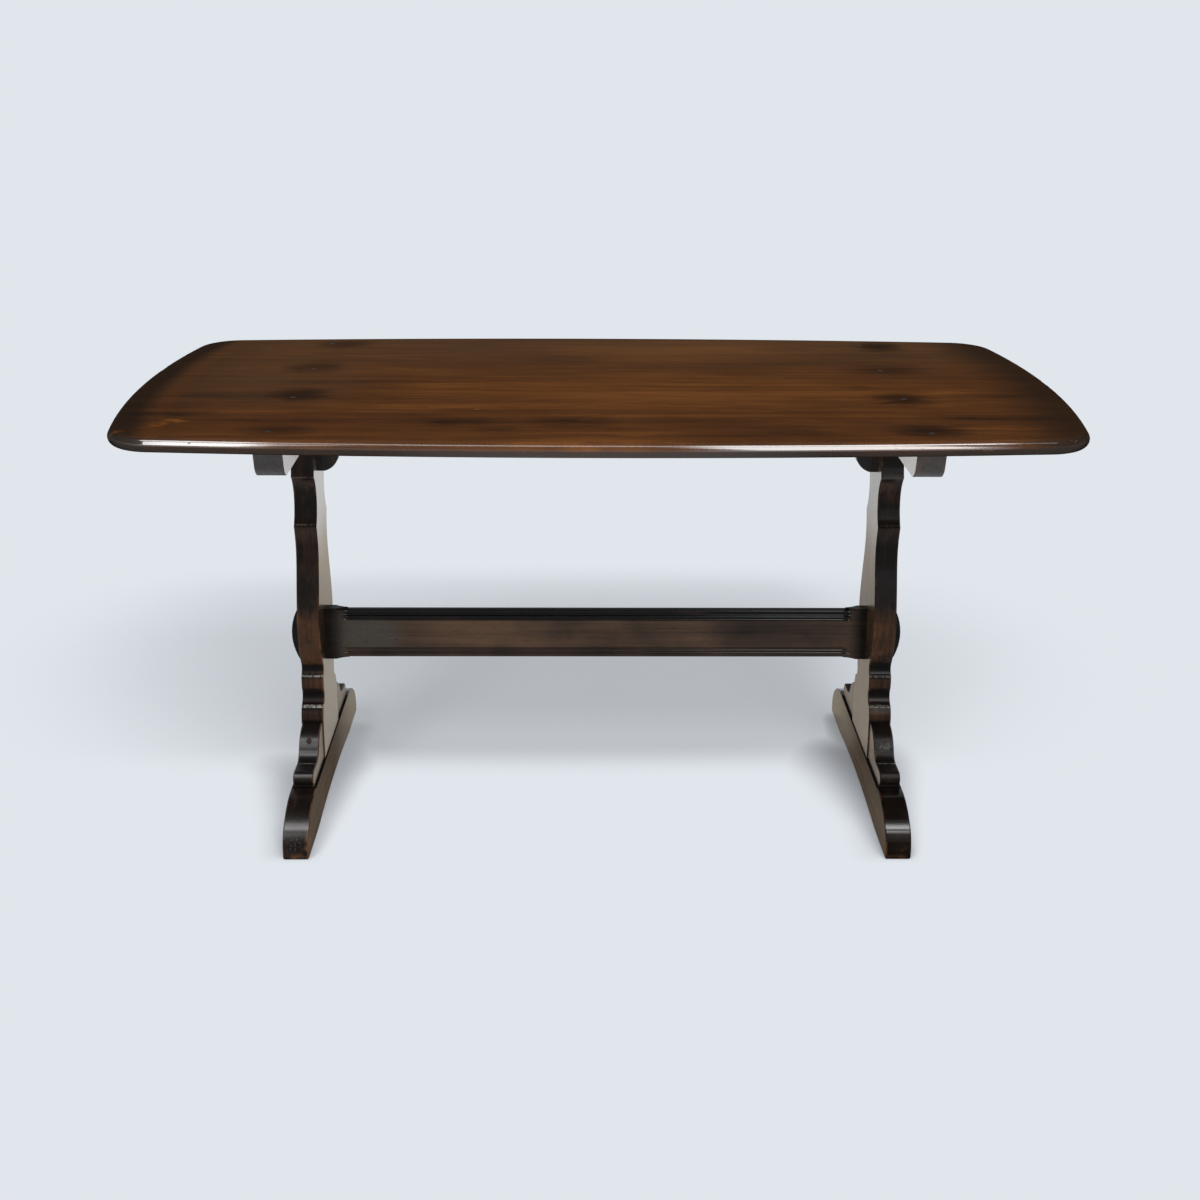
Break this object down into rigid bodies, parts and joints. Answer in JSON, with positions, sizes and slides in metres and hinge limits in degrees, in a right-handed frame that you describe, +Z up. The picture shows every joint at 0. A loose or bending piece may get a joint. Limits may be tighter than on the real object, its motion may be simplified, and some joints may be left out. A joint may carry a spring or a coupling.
{
  "type": "refectory table",
  "caption": "Boat-shaped boarded dining top on scroll-cut trestle legs with sledge feet, tied by a moulded stretcher whose rounded tenons pass through the legs.",
  "frame": {"origin": "on the floor under the middle of the table", "axes": "+X along the table's length, +Y towards its back, +Z up"},
  "size_m": [1.516, 0.7618, 0.73],
  "materials": {
    "top_wood": "dark antique stain under satin varnish, worn lighter along the grain",
    "frame_wood": "near-black brown stain under satin varnish, rubbed to orange-brown at the arrises",
    "plug_wood": "stained and varnished with the wood round it",
    "screw_steel": "plain bright steel"
  },
  "bodies": {
    "root": {"top_board_front": "top_wood", "top_board_inner_front": "top_wood", "top_board_inner_back": "top_wood", "top_board_back": "top_wood", "bearer_right": "frame_wood", "bearer_left": "frame_wood", "leg_right": "frame_wood", "leg_left": "frame_wood", "foot_right": "frame_wood", "foot_left": "frame_wood", "ear_back_right": "frame_wood", "ear_back_left": "frame_wood", "ear_front_right": "frame_wood", "ear_front_left": "frame_wood", "knee_bracket_right": "frame_wood", "knee_bracket_left": "frame_wood", "stretcher": "frame_wood", "stretcher_peg_right": "plug_wood", "stretcher_peg_left": "plug_wood", "top_screw_plugs": "plug_wood", "ear_screw_plugs_right": "plug_wood", "ear_screw_plugs_left": "plug_wood", "top_screws": "screw_steel", "ear_screws_right": "screw_steel", "ear_screws_left": "screw_steel", "foot_screws_right": "screw_steel", "foot_screws_left": "screw_steel", "bracket_screws_right": "screw_steel", "bracket_screws_left": "screw_steel"}
  },
  "joints": []
}
